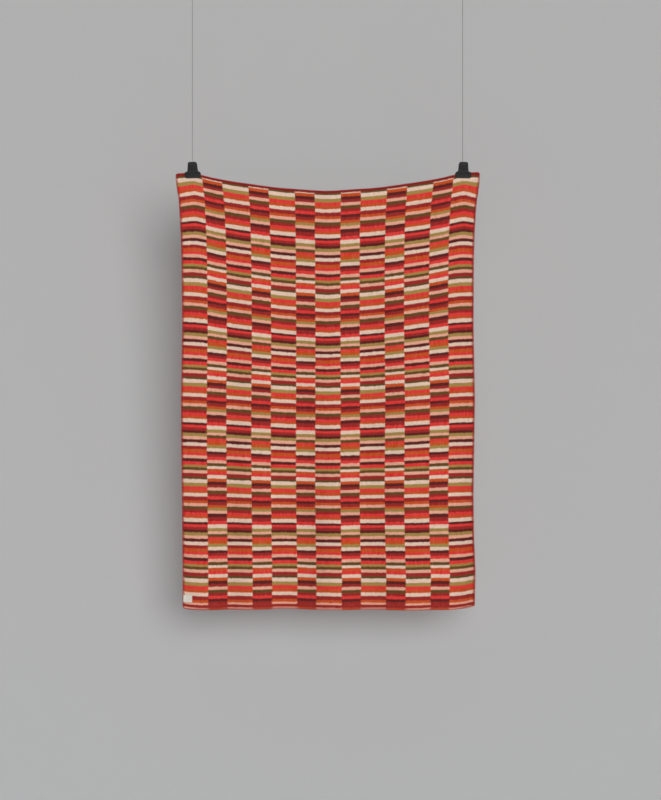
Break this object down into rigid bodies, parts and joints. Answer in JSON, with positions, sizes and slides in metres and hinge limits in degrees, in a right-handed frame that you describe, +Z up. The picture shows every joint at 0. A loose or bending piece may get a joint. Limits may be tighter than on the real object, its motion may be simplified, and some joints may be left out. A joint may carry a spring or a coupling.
{
  "type": "wool throw and hanging clips",
  "caption": "Woven wool throw hung by its top corners from sprung clips on taut steel wires, with ceiling fittings at the wires' upper ends.",
  "frame": {"origin": "on the ceiling, midway between the hanging wires", "axes": "+Z up, -Y out of the throw's face, +X to the right as seen facing the throw"},
  "size_m": [1.292, 0.0509, 2.6533],
  "materials": {
    "wool": "brushed wool double cloth in many coloured stripes",
    "label_ribbon": "plain woven ribbon",
    "clip_black": "matt black powder coat",
    "spring_steel": "dark spring steel",
    "wire_steel": "thin stranded steel wire",
    "fitting_nickel": "satin nickel plate"
  },
  "bodies": {
    "root": {"throw": "wool", "label": "label_ribbon", "clip_left_front": "clip_black", "clip_left_back": "clip_black", "clip_left_barrel": "spring_steel", "clip_right_front": "clip_black", "clip_right_back": "clip_black", "clip_right_barrel": "spring_steel", "wire_left_loop": "wire_steel", "wire_right_loop": "wire_steel", "wire_left": "wire_steel", "wire_right": "wire_steel", "wire_left_fitting": "fitting_nickel", "wire_right_fitting": "fitting_nickel"}
  },
  "joints": []
}
